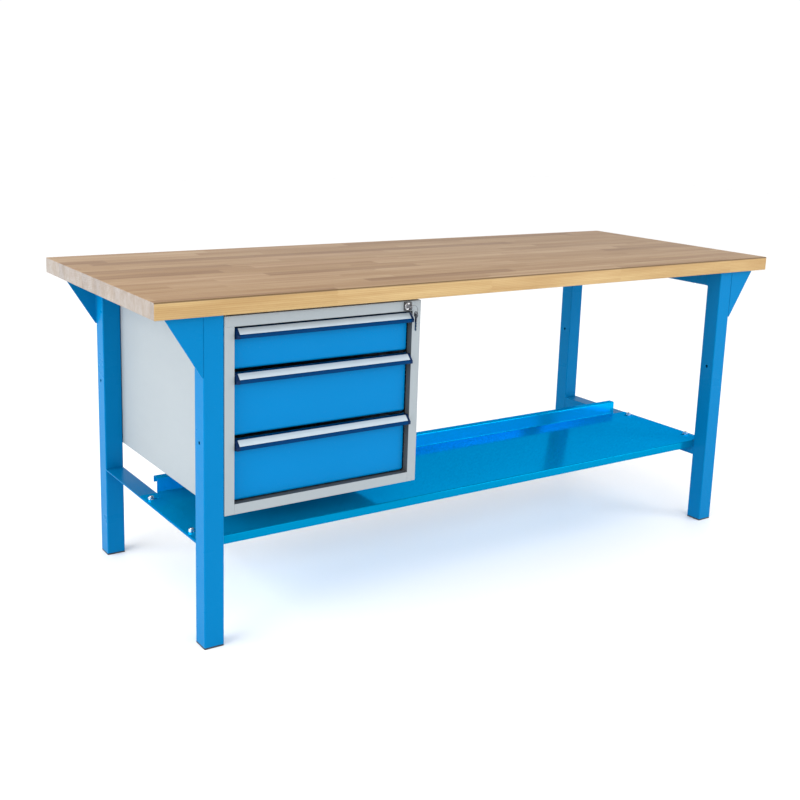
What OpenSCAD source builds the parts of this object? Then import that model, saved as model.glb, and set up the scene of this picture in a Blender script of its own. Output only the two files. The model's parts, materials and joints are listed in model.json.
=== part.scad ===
// Workbench: solid timber top on a welded steel frame, with a sheet steel lower shelf and a
// hung cabinet that holds three drawers behind one central lock.
// Origin: centre of the footprint, on the floor. +X runs along the bench, the front faces -Y
// and +Z is up. Millimetres.

/* [Worktop] */
// Length of the worktop
top_l = 2000; // [1700:10:2400]
// Depth of the worktop, front to back
top_d = 750; // [740:10:900]
// Thickness of the worktop
top_t = 40; // [36:1:50]
// Height of the working surface above the floor
bench_h = 840; // [835:5:950]

/* [Frame] */
// Outer width of the square leg tube
leg_w = 50; // [45:1:60]
// Wall thickness of the tubes
leg_wall = 2; // [1.5:0.5:3]
// Outer corner radius of the tubes
leg_r = 3; // [2.5:0.5:4]
// Distance from a worktop end to the outer face of the leg
leg_inset_x = 124; // [110:1:140]
// Distance from the worktop's front or rear edge to the leg
leg_inset_y = 25; // [20:1:30]
// Height of the cross holes through the legs
leg_hole_z = 500; // [450:5:550]
// Diameter of the cross holes through the legs
leg_hole_d = 9; // [7:0.5:11]
// Thickness of a foot cap below the tube
foot_h = 4; // [3:0.5:6]
// Reach of a corner gusset beyond the leg
gusset_l = 91; // [60:1:100]
// Height of a corner gusset
gusset_h = 143; // [100:1:180]
// Plate thickness of a corner gusset
gusset_t = 4; // [3:0.5:5]

/* [Shelf] */
// Height of the top of the lower side rails
rail_z = 252; // [230:1:258]
// Height of a lower side rail's upright flange
rail_h = 45; // [35:1:60]
// Plate thickness of a lower side rail
rail_t = 3; // [2.5:0.5:4]
// Depth of the shelf from its front flange to its upstand
shelf_d = 358; // [300:2:400]
// Height of the shelf's front flange
shelf_lip = 22; // [16:1:30]
// Height of the shelf's rear upstand
shelf_up = 40; // [30:1:45]
// Width of the hooked return on top of the upstand
shelf_hook = 22; // [16:1:26]
// Sheet thickness of the shelf
shelf_t = 1.5; // [1:0.1:2]

/* [Cabinet] */
// Width of the cabinet
cab_w = 535; // [520:1:560]
// Height of the cabinet
cab_h = 470; // [460:5:472]
// Depth of the cabinet
cab_d = 670; // [660:1:690]
// Face width of the stiles and rails round the drawer opening
face_w = 25; // [24:1:26]
// Depth of the folded returns inside the opening
return_d = 20; // [16:1:21]
// Sheet thickness of the cabinet and the drawers
sheet = 1.5; // [1:0.1:1.6]
// Thickness of the strips between the cabinet and the worktop
hanger_h = 8; // [6:1:12]

/* [Drawers] */
// Height of a deep drawer's row as a multiple of the shallow one's
deep_share = 1.5; // [1.4:0.05:1.6]
// Distance that the drawer fronts sit back from the cabinet's face
front_recess = 16; // [14:1:17]
// Clearance round a drawer front
front_gap = 2; // [1.5:0.1:2.5]
// Length of the telescopic slides
slide_l = 590; // [500:10:590]
// Height of a slide's fixed member
slide_h = 45; // [44:0.5:46]
// Thickness of a closed slide
slide_t = 12.7; // [12.5:0.1:12.9]
// Height of the shallow drawer's box
box_h_low = 75; // [70:1:78]
// Height of a deep drawer's box
box_h_tall = 125; // [110:1:128]

/* [Lock] */
// Width of the lock's square bezel
bezel_w = 22; // [20:0.5:23]
// Diameter of the lock's body behind the bezel
lock_body_d = 18; // [17:0.5:18.5]
// Diameter of the lock's barrel
barrel_d = 12; // [11:0.5:13]
// Travel of the locking bar
bar_travel = 10; // [9:0.5:10]

/* [Hidden] */
$fn = 48;

blue = "dodgerblue";
grey = "lightslategray";
zinc = "silver";

// Frame positions
top_z = bench_h - top_t;
leg_out_x = top_l / 2 - leg_inset_x;
leg_in_x = leg_out_x - leg_w;
leg_x = leg_out_x - leg_w / 2;
frame_y = top_d / 2 - leg_inset_y;
leg_y = frame_y - leg_w / 2;
beam_y = frame_y - leg_w;

// Blunt end of a gusset's sloping edge
gusset_nose = 3;

// Foot plug
plug_h = 20;
plug_gap = 0.3;
foot_plug_r = 1;

// Screws into the worktop
screw_r = 4;
screw_hole_r = 4.5;
screw_head_h = 5.5;
screw_head_r = 7.5;
screw_bite = 26;
pilot_gap = 0.1;
beam_screw_y = [-230, 0, 230];

// Shelf and its fixings
shelf_y0 = -beam_y + 0.5;
shelf_y1 = shelf_y0 + shelf_d;
shelf_z = rail_z + shelf_t;
shelf_in_x = leg_in_x - 1;
shelf_out_x = leg_out_x - 2;
shelf_hook_drop = 18;
bolt_r = 4;
bolt_x = leg_x + 7;
bolt_y = [shelf_y0 + 62, shelf_y1 - 42];
slot_l = 30;
slot_r = 4.5;
washer_r = 8;
washer_t = 1.6;
nut_r = 7.5;
nut_h = 5.5;
bolt_tip = 1.5;

// Cabinet box
cab_x0 = -leg_in_x + 1;
cab_x1 = cab_x0 + cab_w;
cab_y0 = -frame_y;
cab_y1 = cab_y0 + cab_d;
cab_z1 = top_z - hanger_h;
cab_z0 = cab_z1 - cab_h;
cab_mid_x = (cab_x0 + cab_x1) / 2;
open_w = cab_w - 2 * face_w;
open_h = cab_h - 2 * face_w;
open_z0 = cab_z0 + face_w;
hanger_y = [cab_y0 + 70, cab_y1 - 70];
hanger_w = 40;
hanger_inset = 20;
hanger_screw_x = [cab_x0 + 90, cab_x1 - 90];

// Drawer rows, counted from the top: row 1 is the shallow drawer
low_row_h = open_h / (1 + 2 * deep_share);
function row_h(i) = i == 1 ? low_row_h : deep_share * low_row_h;
function row_z(i) = open_z0 + (i == 3 ? 0 : row_z(i + 1) - open_z0 + row_h(i + 1));
function box_h(i) = i == 1 ? box_h_low : box_h_tall;

// Drawer fronts and handles
front_w = open_w - 2 * front_gap;
front_y = cab_y0 + front_recess;
front_top_gap = 5;
front_return = 8;
handle_drop = 5;
handle_out = 12;
handle_slope = 15;
handle_t = 2;
handle_lip = 7;
handle_flange = 12;

// Drawer boxes sit between the slides
slide_x = open_w / 2 - 0.5;
box_x = slide_x - slide_t;
box_lift = 10;
box_y0 = front_y + sheet;
box_y1 = box_y0 + slide_l + 7;
slide_y0 = cab_y0 + 25;
slide_mid_z = box_lift + slide_h / 2 + 0.5;
slide_sheet = 1.2;
fixed_depth = 10.3;
middle_setback = 3;
middle_depth = 8;
middle_h = slide_h - 6;
inner_depth = 6.5;
inner_h = slide_h - 12;
bracket_h = 30;
bracket_w = 36;
bracket_y = [40, slide_l - 65];
catch_z = 70;
catch_h = 10;
catch_out = 11;
catch_l = 14;

// Lock: the axis runs along Y through the top rail. A quarter turn anticlockwise drops the bar
lock_x = cab_x1 - face_w - 16;
lock_z = cab_z1 - face_w / 2;
bezel_t = 3;
lock_body_l = 30;
lock_gap = 0.05;
crank_r = bar_travel / sqrt(2);
crank_disc_r = 10;
crank_disc_t = 2;
crank_pin_r = 2;
crank_pin_l = 7;
pin_play = 0.5;
barrel_y0 = cab_y0 - bezel_t - 1;
barrel_y1 = cab_y0 + lock_body_l + 1;
bar_y0 = barrel_y1 + crank_disc_t + 1;
bar_w = 16;
bar_t = 3;
bar_x = cab_x1 - face_w + 11;
bar_z0 = open_z0 + 20;
hook_h = 8;
hook_rest_gap = 4;
hook_l = 8;
hook_reach = 17;
catch_y = bar_y0 + hook_l + 2;
arm_h = 11;
guide_gap = 0.5;
guide_h = 20;
guide_z = [cab_z0 + 110, cab_z0 + 270];

// Keys
key_t = 2;
key_slot_gap = 0.1;
blade_h = 7;
key_l = 45;
notch_pitch = 5;
notch_r = 1.4;
bow_r = 8;
bow_hole_r = 3.2;
bow_offset = 4;
ring_r = 11;
ring_wire_r = 0.8;
key_y = -top_d / 2 + bow_r + 0.2;
// The ring leans to one side, so that the spare key hangs beside the drawers and not before them
ring_dx = 8;
ring_dz = sqrt(ring_r * ring_r - ring_dx * ring_dx);
spare_dx = 7.5;
spare_dz = sqrt(ring_r * ring_r - spare_dx * spare_dx);

// A box from its lowest corner to its highest corner
module block(lo, hi) {
    translate(lo) cube([for (i = [0:2]) hi[i] - lo[i]]);
}

// Builds for the right-hand side, or mirrored for the left-hand side
module on_side(side) {
    if (side < 0) mirror([1, 0, 0]) children();
    else children();
}

// Places a drawer's pieces about the cabinet's centre line, at the base of row i
module in_row(i, side = 1) {
    translate([cab_mid_x, 0, row_z(i)]) on_side(side) children();
}

// A square with true round corners, centred
module round_square(w, r) {
    square([w - 2 * r, w], center = true);
    square([w, w - 2 * r], center = true);
    for (x = [-1, 1], y = [-1, 1]) translate([x * (w / 2 - r), y * (w / 2 - r)]) circle(r);
}

module tube_section() {
    difference() {
        round_square(leg_w, leg_r);
        round_square(leg_w - 2 * leg_wall, leg_r - leg_wall);
    }
}

// A profile drawn as (Y, Z) and extruded along X from x0 to x1
module along_x(x0, x1) {
    translate([x0, 0, 0]) rotate([90, 0, 90]) linear_extrude(x1 - x0) children();
}

module y_cylinder(r, y0, y1) {
    translate([0, y1, 0]) rotate([90, 0, 0]) cylinder(r = r, h = y1 - y0);
}

module x_cylinder(r, x0, x1) {
    translate([x0, 0, 0]) rotate([0, 90, 0]) cylinder(r = r, h = x1 - x0);
}

// Every screw position under the worktop: [x, y, height of the face below the head]
function screw_spots() = concat(
    [for (s = [-1, 1], y = beam_screw_y) [s * leg_x, y, top_z - leg_w]],
    [for (x = hanger_screw_x, y = hanger_y) [x, y, cab_z1 - sheet]]
);

module worktop() {
    color("burlywood") difference() {
        block([-top_l / 2, -top_d / 2, top_z], [top_l / 2, top_d / 2, bench_h]);
        for (p = screw_spots()) translate([p.x, p.y, top_z - 1])
            cylinder(r = screw_r + pilot_gap, h = screw_bite + 3);
    }
}

module leg(side, back) {
    color(blue) translate([side * leg_x, back * leg_y, 0]) difference() {
        translate([0, 0, foot_h]) linear_extrude(top_z - foot_h) tube_section();
        translate([0, 0, leg_hole_z]) x_cylinder(leg_hole_d / 2, -leg_w, leg_w);
    }
}

// A moulded cap with a plug that fills the end of the tube
module foot(side, back) {
    color("black") translate([side * leg_x, back * leg_y, 0]) {
        linear_extrude(foot_h) round_square(leg_w, leg_r);
        translate([0, 0, foot_h]) linear_extrude(plug_h)
            round_square(leg_w - 2 * leg_wall - 2 * plug_gap, foot_plug_r);
    }
}

// A flat triangular plate, flush with the outermost face of the frame
module gusset(side, back) {
    color(blue) translate([0, back < 0 ? -frame_y + gusset_t : frame_y, 0]) on_side(side)
        rotate([90, 0, 0]) linear_extrude(gusset_t) polygon([
            [leg_out_x, top_z],
            [leg_out_x + gusset_l, top_z],
            [leg_out_x + gusset_l, top_z - gusset_nose],
            [leg_out_x + gusset_nose, top_z - gusset_h],
            [leg_out_x, top_z - gusset_h]
        ]);
}

module top_beam(side) {
    color(blue) difference() {
        translate([side * leg_x, 0, top_z - leg_w / 2]) rotate([90, 0, 0])
            linear_extrude(2 * beam_y, center = true) tube_section();
        for (y = beam_screw_y) translate([side * leg_x, y, top_z - leg_w - 1])
            cylinder(r = screw_hole_r, h = leg_w + 2);
    }
}

// A slot along X for a shelf bolt, on the right-hand side
module bolt_slot(y) {
    translate([leg_x, y, rail_z - rail_t - 1]) {
        for (x = [-1, 1]) translate([x * (slot_l / 2 - slot_r), 0, 0]) cylinder(r = slot_r, h = 10);
        block([-slot_l / 2 + slot_r, -slot_r, 0], [slot_l / 2 - slot_r, slot_r, 10]);
    }
}

module lower_rail(side) {
    color(blue) on_side(side) difference() {
        union() {
            block([leg_in_x, -beam_y, rail_z - rail_t], [leg_out_x, beam_y, rail_z]);
            block([leg_in_x, -beam_y, rail_z - rail_h], [leg_in_x + rail_t, beam_y, rail_z]);
        }
        for (y = bolt_y) bolt_slot(y);
    }
}

// A folded sheet: front flange, floor, upstand and a hooked return on top of it
module shelf() {
    x = shelf_in_x;
    up_z = shelf_z + shelf_up;
    hook_y = shelf_y1 + shelf_hook;
    color(blue) difference() {
        union() {
            block([-shelf_out_x, shelf_y0, rail_z], [shelf_out_x, shelf_y1, shelf_z]);
            block([-x, shelf_y0, shelf_z - shelf_lip], [x, shelf_y0 + shelf_t, shelf_z]);
            block([-x, shelf_y1 - shelf_t, rail_z], [x, shelf_y1, up_z]);
            block([-x, shelf_y1 - shelf_t, up_z - shelf_t], [x, hook_y, up_z]);
            block([-x, hook_y - shelf_t, up_z - shelf_hook_drop], [x, hook_y, up_z]);
        }
        for (s = [-1, 1], y = bolt_y) on_side(s) bolt_slot(y);
    }
}

module washer(z) {
    translate([0, 0, z]) difference() {
        cylinder(r = washer_r, h = washer_t);
        translate([0, 0, -1]) cylinder(r = bolt_r + 0.3, h = washer_t + 2);
    }
}

// Four sets of bolt, washers and nut: the heads are under the rail and the nuts are on the shelf
module shelf_bolts() {
    low_z = rail_z - rail_t - washer_t;
    nut_z = shelf_z + washer_t;
    color(zinc) for (s = [-1, 1], y = bolt_y) translate([s * bolt_x, y, 0]) {
        translate([0, 0, low_z - screw_head_h]) cylinder(r = nut_r, h = screw_head_h, $fn = 6);
        translate([0, 0, low_z]) cylinder(r = bolt_r, h = nut_z + nut_h + bolt_tip - low_z);
        washer(low_z);
        washer(shelf_z);
        translate([0, 0, nut_z]) difference() {
            cylinder(r = nut_r, h = nut_h, $fn = 6);
            translate([0, 0, -1]) cylinder(r = bolt_r + 0.1, h = nut_h + 2);
        }
    }
}

module worktop_screws() {
    color(zinc) for (p = screw_spots()) translate(p) {
        translate([0, 0, -screw_head_h]) cylinder(r = screw_head_r, h = screw_head_h, $fn = 6);
        cylinder(r = screw_r, h = top_z - p.z + screw_bite);
    }
}

// A cabinet side folded at the front into a stile with a return
module cabinet_side(side) {
    out = cab_w / 2;
    color(grey) translate([cab_mid_x, 0, 0]) on_side(side) {
        block([out - sheet, cab_y0, cab_z0], [out, cab_y1, cab_z1]);
        block([out - face_w, cab_y0, cab_z0], [out - sheet, cab_y0 + sheet, cab_z1 - face_w]);
        block([out - face_w, cab_y0, open_z0 - sheet],
              [out - face_w + sheet, cab_y0 + return_d, cab_z1 - face_w]);
    }
}

// The top sheet folds down at the front into the rail that carries the lock
module cabinet_top() {
    out = cab_w / 2 - sheet;
    rail = cab_w / 2 - face_w;
    color(grey) difference() {
        translate([cab_mid_x, 0, 0]) {
            block([-out, cab_y0, cab_z1 - sheet], [out, cab_y1, cab_z1]);
            block([-out, cab_y0, cab_z1 - face_w], [out, cab_y0 + sheet, cab_z1]);
            block([-rail, cab_y0, cab_z1 - face_w],
                  [rail, cab_y0 + return_d, cab_z1 - face_w + sheet]);
        }
        translate([lock_x, 0, lock_z])
            y_cylinder(lock_body_d / 2 + 0.2, cab_y0 - 1, cab_y0 + return_d + 5);
        for (x = hanger_screw_x, y = hanger_y) translate([x, y, cab_z1 - sheet - 1])
            cylinder(r = screw_hole_r, h = sheet + 2);
    }
}

module cabinet_bottom() {
    out = cab_w / 2 - sheet;
    rail = cab_w / 2 - face_w;
    color(grey) translate([cab_mid_x, 0, 0]) {
        block([-out, cab_y0 + sheet, cab_z0], [out, cab_y1, cab_z0 + sheet]);
        block([-rail, cab_y0, cab_z0], [rail, cab_y0 + sheet, open_z0]);
        block([-rail + sheet, cab_y0, open_z0 - sheet], [rail - sheet, cab_y0 + return_d, open_z0]);
    }
}

module cabinet_back() {
    out = cab_w / 2 - sheet;
    color(grey) translate([cab_mid_x, 0, 0])
        block([-out, cab_y1 - sheet, cab_z0 + sheet], [out, cab_y1, cab_z1 - sheet]);
}

// Two flat bars that space the cabinet down from the worktop
module cabinet_hangers() {
    color(zinc) for (y = hanger_y) difference() {
        block([cab_x0 + hanger_inset, y - hanger_w / 2, cab_z1],
              [cab_x1 - hanger_inset, y + hanger_w / 2, top_z]);
        for (x = hanger_screw_x) translate([x, y, cab_z1 - 1])
            cylinder(r = screw_hole_r, h = hanger_h + 2);
    }
}

// An open tray; the catch for the locking bar is a tab on its right-hand side
module drawer_box(i) {
    z1 = box_lift + box_h(i);
    color(zinc) in_row(i) {
        difference() {
            block([-box_x, box_y0, box_lift], [box_x, box_y1, z1]);
            block([-box_x + sheet, box_y0 + sheet, box_lift + sheet],
                  [box_x - sheet, box_y1 - sheet, z1 + 1]);
        }
        block([box_x, catch_y, catch_z], [box_x + catch_out, catch_y + catch_l, catch_z + catch_h]);
    }
}

// A sheet panel with short returns down both sides and along the bottom
module drawer_front(i) {
    w = front_w / 2;
    z0 = front_gap;
    z1 = row_h(i) - front_top_gap;
    y1 = front_y + front_return;
    color(blue) in_row(i) {
        block([-w, front_y, z0], [w, front_y + sheet, z1]);
        block([-w, front_y, z0], [w, y1, z0 + sheet]);
        for (s = [-1, 1]) on_side(s) block([w - sheet, front_y, z0], [w, y1, z1]);
    }
}

// A full-width grip: fixing flange, ledge and a sloping face that carries the label strip
module drawer_handle(i) {
    w = front_w / 2;
    z = row_h(i) - handle_drop;
    y = front_y - handle_out;
    t = handle_t;
    color("gainsboro") in_row(i) along_x(-w, w) polygon([
        [front_y, z],
        [y, z],
        [y - handle_slope, z - handle_slope],
        [y - handle_slope, z - handle_slope - handle_lip],
        [y - handle_slope + t, z - handle_slope - handle_lip],
        [y + t * 0.4, z - t],
        [front_y - t, z - t],
        [front_y - t, z - handle_flange],
        [front_y, z - handle_flange]
    ]);
}

// A channel section on the right-hand side, between two X values, open towards the web's far side
module channel(web_x, lip_x, h) {
    lo = min(web_x, lip_x);
    hi = max(web_x, lip_x);
    web_far = web_x > lip_x ? web_x - slide_sheet : web_x + slide_sheet;
    y1 = slide_y0 + slide_l;
    difference() {
        block([lo, slide_y0, -h / 2], [hi, y1, h / 2]);
        block([web_x > lip_x ? lo - 1 : web_far, slide_y0 - 1, -h / 2 + slide_sheet],
              [web_x > lip_x ? web_far : hi + 1, y1 + 1, h / 2 - slide_sheet]);
    }
}

// The fixed member and the two stand-off brackets that join it to the cabinet's side
module slide_fixed(i, side) {
    side_x = cab_w / 2 - sheet;
    half = bracket_h / 2;
    color(zinc) in_row(i, side) translate([0, 0, slide_mid_z]) {
        channel(slide_x, slide_x - fixed_depth, slide_h);
        for (y = bracket_y) translate([0, slide_y0 + y, 0]) {
            block([slide_x, 0, -half], [slide_x + sheet, bracket_w, half]);
            block([slide_x, 0, half - sheet], [side_x, bracket_w, half]);
            block([side_x - sheet, 0, -half], [side_x, bracket_w, half]);
        }
    }
}

module slide_middle(i, side) {
    color(zinc) in_row(i, side) translate([0, 0, slide_mid_z])
        channel(slide_x - middle_setback, slide_x - middle_setback - middle_depth, middle_h);
}

module slide_drawer(i, side) {
    color(zinc) in_row(i, side) translate([0, 0, slide_mid_z])
        channel(box_x, box_x + inner_depth, inner_h);
}

// A square bezel on the rail and a round body behind it, bored for the barrel
module lock_housing() {
    color("gray") translate([lock_x, 0, lock_z]) difference() {
        union() {
            block([-bezel_w / 2, cab_y0 - bezel_t, -bezel_w / 2],
                  [bezel_w / 2, cab_y0, bezel_w / 2]);
            y_cylinder(lock_body_d / 2, cab_y0, cab_y0 + lock_body_l);
        }
        y_cylinder(barrel_d / 2 + lock_gap, cab_y0 - bezel_t - 1, cab_y0 + lock_body_l + 1);
    }
}

// The turning core, with the key slot in front and the crank disc and pin behind
module lock_barrel() {
    slot_z = blade_h / 2 + key_slot_gap;
    slot_x = key_t / 2 + key_slot_gap;
    pin_at = crank_r / sqrt(2);
    color(zinc) translate([lock_x, 0, lock_z]) {
        difference() {
            y_cylinder(barrel_d / 2, barrel_y0, barrel_y1);
            block([-slot_x, barrel_y0 - 1, -slot_z],
                  [slot_x, key_y + key_l + 1, slot_z]);
        }
        y_cylinder(crank_disc_r, barrel_y1, barrel_y1 + crank_disc_t);
        translate([-pin_at, 0, pin_at])
            y_cylinder(crank_pin_r, barrel_y1 + crank_disc_t, barrel_y1 + crank_disc_t + crank_pin_l);
    }
}

// A flat bar beside the drawers: its arm takes the crank pin and its hooks drop behind the catches
module lock_bar() {
    pin_at = crank_r / sqrt(2);
    slot_half = crank_pin_r + pin_play;
    slot_x0 = lock_x - crank_r - slot_half;
    slot_x1 = lock_x - pin_at + slot_half;
    arm_x0 = slot_x0 - bar_t;
    arm_z0 = lock_z + pin_at - arm_h / 2;
    arm_z1 = arm_z0 + arm_h;
    color(zinc) {
        difference() {
            union() {
                block([bar_x, bar_y0, bar_z0], [bar_x + bar_t, bar_y0 + bar_w, arm_z1]);
                block([arm_x0, bar_y0, arm_z0], [bar_x, bar_y0 + bar_t, arm_z1]);
            }
            block([slot_x0, bar_y0 - 1, lock_z + pin_at - slot_half],
                  [slot_x1, bar_y0 + bar_t + 1, lock_z + pin_at + slot_half]);
        }
        for (i = [1:3]) translate([0, 0, row_z(i) + catch_z + catch_h + hook_rest_gap])
            block([bar_x - hook_reach, bar_y0, 0], [bar_x, bar_y0 + hook_l, hook_h]);
    }
}

// Two angled lugs on the cabinet's side keep the bar upright
module lock_bar_guides() {
    x1 = cab_x1 - sheet;
    x0 = bar_x + bar_t + guide_gap;
    y = bar_y0 + bar_w + guide_gap;
    color(zinc) for (z = guide_z) {
        block([x0, bar_y0, z], [x0 + sheet, y + 8, z + guide_h]);
        block([x0 + sheet, y + 8 - sheet, z], [x1, y + 8, z + guide_h]);
        block([bar_x - 4, y, z], [x0, y + sheet, z + guide_h]);
    }
}

// A flat key in the YZ plane: the hole of its bow is at the origin and its blade runs along +Y
module flat_key() {
    difference() {
        union() {
            translate([0, bow_offset, 0]) x_cylinder(bow_r, -key_t / 2, key_t / 2);
            block([-key_t / 2, bow_offset, -blade_h / 2], [key_t / 2, key_l, blade_h / 2]);
        }
        x_cylinder(bow_hole_r, -key_t, key_t);
        for (notch = [1:3]) translate([0, key_l - notch_pitch * notch, blade_h / 2 + 0.3])
            x_cylinder(notch_r, -key_t, key_t);
    }
}

module key() {
    color(zinc) translate([lock_x, key_y, lock_z]) flat_key();
}

module key_ring() {
    color(zinc) translate([lock_x + ring_dx, key_y, lock_z - ring_dz]) rotate([90, 0, 0])
        rotate_extrude() translate([ring_r, 0]) circle(ring_wire_r, $fn = 24);
}

module spare_key() {
    color(zinc) translate([lock_x + ring_dx + spare_dx, key_y, lock_z - ring_dz - spare_dz])
        rotate([-90, 0, 0]) flat_key();
}

worktop();
leg(-1, -1);  // leg_front_left
leg(1, -1);  // leg_front_right
leg(-1, 1);  // leg_rear_left
leg(1, 1);  // leg_rear_right
foot(-1, -1);  // foot_front_left
foot(1, -1);  // foot_front_right
foot(-1, 1);  // foot_rear_left
foot(1, 1);  // foot_rear_right
gusset(-1, -1);  // gusset_front_left
gusset(1, -1);  // gusset_front_right
gusset(-1, 1);  // gusset_rear_left
gusset(1, 1);  // gusset_rear_right
top_beam(-1);  // top_beam_left
top_beam(1);  // top_beam_right
lower_rail(-1);  // lower_rail_left
lower_rail(1);  // lower_rail_right
shelf();
shelf_bolts();
worktop_screws();
cabinet_side(-1);  // cabinet_side_left
cabinet_side(1);  // cabinet_side_right
cabinet_top();
cabinet_bottom();
cabinet_back();
cabinet_hangers();
drawer_box(1);  // drawer_box_1
drawer_box(2);  // drawer_box_2
drawer_box(3);  // drawer_box_3
drawer_front(1);  // drawer_front_1
drawer_front(2);  // drawer_front_2
drawer_front(3);  // drawer_front_3
drawer_handle(1);  // drawer_handle_1
drawer_handle(2);  // drawer_handle_2
drawer_handle(3);  // drawer_handle_3
slide_fixed(1, -1);  // slide_fixed_left_1
slide_fixed(1, 1);  // slide_fixed_right_1
slide_fixed(2, -1);  // slide_fixed_left_2
slide_fixed(2, 1);  // slide_fixed_right_2
slide_fixed(3, -1);  // slide_fixed_left_3
slide_fixed(3, 1);  // slide_fixed_right_3
slide_middle(1, -1);  // slide_middle_left_1
slide_middle(1, 1);  // slide_middle_right_1
slide_middle(2, -1);  // slide_middle_left_2
slide_middle(2, 1);  // slide_middle_right_2
slide_middle(3, -1);  // slide_middle_left_3
slide_middle(3, 1);  // slide_middle_right_3
slide_drawer(1, -1);  // slide_drawer_left_1
slide_drawer(1, 1);  // slide_drawer_right_1
slide_drawer(2, -1);  // slide_drawer_left_2
slide_drawer(2, 1);  // slide_drawer_right_2
slide_drawer(3, -1);  // slide_drawer_left_3
slide_drawer(3, 1);  // slide_drawer_right_3
lock_housing();
lock_barrel();
lock_bar();
lock_bar_guides();
key();
key_ring();
spare_key();
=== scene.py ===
"""The looks of a workbench with drawers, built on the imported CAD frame.

Metres. +X runs along the bench, the front faces -Y and +Z is up.
"""

import json
import math
import random

import bmesh
import bpy
from mathutils import Matrix, Vector
from mathutils.geometry import tessellate_polygon


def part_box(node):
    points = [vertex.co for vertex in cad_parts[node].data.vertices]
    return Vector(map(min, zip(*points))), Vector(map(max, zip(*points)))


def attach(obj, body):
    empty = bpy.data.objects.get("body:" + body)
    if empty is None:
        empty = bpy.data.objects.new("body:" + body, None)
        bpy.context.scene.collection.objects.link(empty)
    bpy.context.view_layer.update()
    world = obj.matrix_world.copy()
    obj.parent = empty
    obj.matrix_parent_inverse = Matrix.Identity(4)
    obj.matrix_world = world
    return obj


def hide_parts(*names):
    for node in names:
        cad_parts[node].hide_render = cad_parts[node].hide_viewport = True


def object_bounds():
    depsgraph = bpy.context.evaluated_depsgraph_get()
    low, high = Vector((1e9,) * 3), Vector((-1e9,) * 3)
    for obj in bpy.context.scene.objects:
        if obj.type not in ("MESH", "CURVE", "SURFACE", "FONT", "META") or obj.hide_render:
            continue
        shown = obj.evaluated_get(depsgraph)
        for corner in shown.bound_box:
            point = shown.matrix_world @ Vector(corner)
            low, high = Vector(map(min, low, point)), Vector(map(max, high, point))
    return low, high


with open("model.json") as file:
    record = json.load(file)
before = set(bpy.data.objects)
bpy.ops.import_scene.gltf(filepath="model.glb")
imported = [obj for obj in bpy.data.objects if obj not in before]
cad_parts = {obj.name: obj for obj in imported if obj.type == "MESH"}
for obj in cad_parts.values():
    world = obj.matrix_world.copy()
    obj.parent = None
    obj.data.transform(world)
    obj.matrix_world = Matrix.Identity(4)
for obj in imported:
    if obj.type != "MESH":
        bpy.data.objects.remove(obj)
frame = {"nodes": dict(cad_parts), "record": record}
CAD_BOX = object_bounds()
MM = 0.001
ROWS = (1, 2, 3)
SIDES = ("left", "right")
CORNERS = [(end, side) for end in ("front", "rear") for side in SIDES]
random.seed(7)


# ---------------------------------------------------------------- shader nodes

def add(tree, kind, inputs=(), **settings):
    """Adds a shader node; inputs maps a socket to a value or to another node's output."""
    made = tree.nodes.new("ShaderNode" + kind)
    for name, value in settings.items():
        setattr(made, name, value)
    for socket, value in dict(inputs).items():
        if isinstance(value, bpy.types.NodeSocket):
            tree.links.new(value, made.inputs[socket])
        else:
            made.inputs[socket].default_value = value
    return made


def maths(tree, operation, a, b=0.0, c=0.0):
    return add(tree, "Math", {0: a, 1: b, 2: c}, operation=operation).outputs[0]


def scaled(tree, vector, factors):
    return add(tree, "VectorMath", {0: vector, 1: factors}, operation="MULTIPLY").outputs[0]


def noise(tree, vector, scale, detail=2.0, roughness=0.5):
    inputs = {"Vector": vector, "Scale": scale, "Detail": detail, "Roughness": roughness}
    return add(tree, "TexNoise", inputs).outputs["Fac"]


def spread(tree, value, low, high, to_low=0.0, to_high=1.0):
    """Stretches the part of a value between low and high over to_low to to_high, and clips the rest."""
    inputs = {0: value, 1: low, 2: high, 3: to_low, 4: to_high}
    return add(tree, "MapRange", inputs, clamp=True).outputs[0]


def mix(tree, factor, a, b, blend="MIX"):
    inputs = {0: factor, 6: a, 7: b}
    return add(tree, "Mix", inputs, data_type="RGBA", blend_type=blend).outputs[2]


def ramp(tree, factor, stops):
    made = add(tree, "ValToRGB", {0: factor})
    elements = made.color_ramp.elements
    for element, (place, colour) in zip((elements[0], elements[1]), (stops[0], stops[-1])):
        element.position = place
        element.color = (*colour, 1)
    for place, colour in stops[1:-1]:
        elements.new(place).color = (*colour, 1)
    return made.outputs["Color"]


def shade(colour, factor=1.0):
    """A colour with its alpha, made darker or lighter by a factor."""
    return tuple(min(1.0, c * factor) for c in colour) + (1.0,)


def stain(tree, colour, value, low, high, most, tint):
    """Multiplies a colour by a tint, from not at all at low to most of the way at high."""
    return mix(tree, spread(tree, value, low, high, 0.0, most), colour, shade(tint), "MULTIPLY")


def axes(tree, vector):
    return add(tree, "SeparateXYZ", {0: vector}).outputs


def new_material(name, **sockets):
    """A material, its tree, its shader and the object's own coordinates, which are the frame's."""
    material = bpy.data.materials.new(name)
    material.use_nodes = True
    tree = material.node_tree
    shader = tree.nodes["Principled BSDF"]
    for socket, value in sockets.items():
        shader.inputs[socket.replace("_", " ")].default_value = value
    return material, tree, shader, add(tree, "TexCoord").outputs["Object"]


def feed(tree, shader, socket, value):
    tree.links.new(value, shader.inputs[socket])


def bump(tree, shader, height, depth):
    made = add(tree, "Bump", {"Height": height, "Distance": depth, "Strength": 1.0})
    feed(tree, shader, "Normal", made.outputs["Normal"])


# ---------------------------------------------------------------- materials

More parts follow.
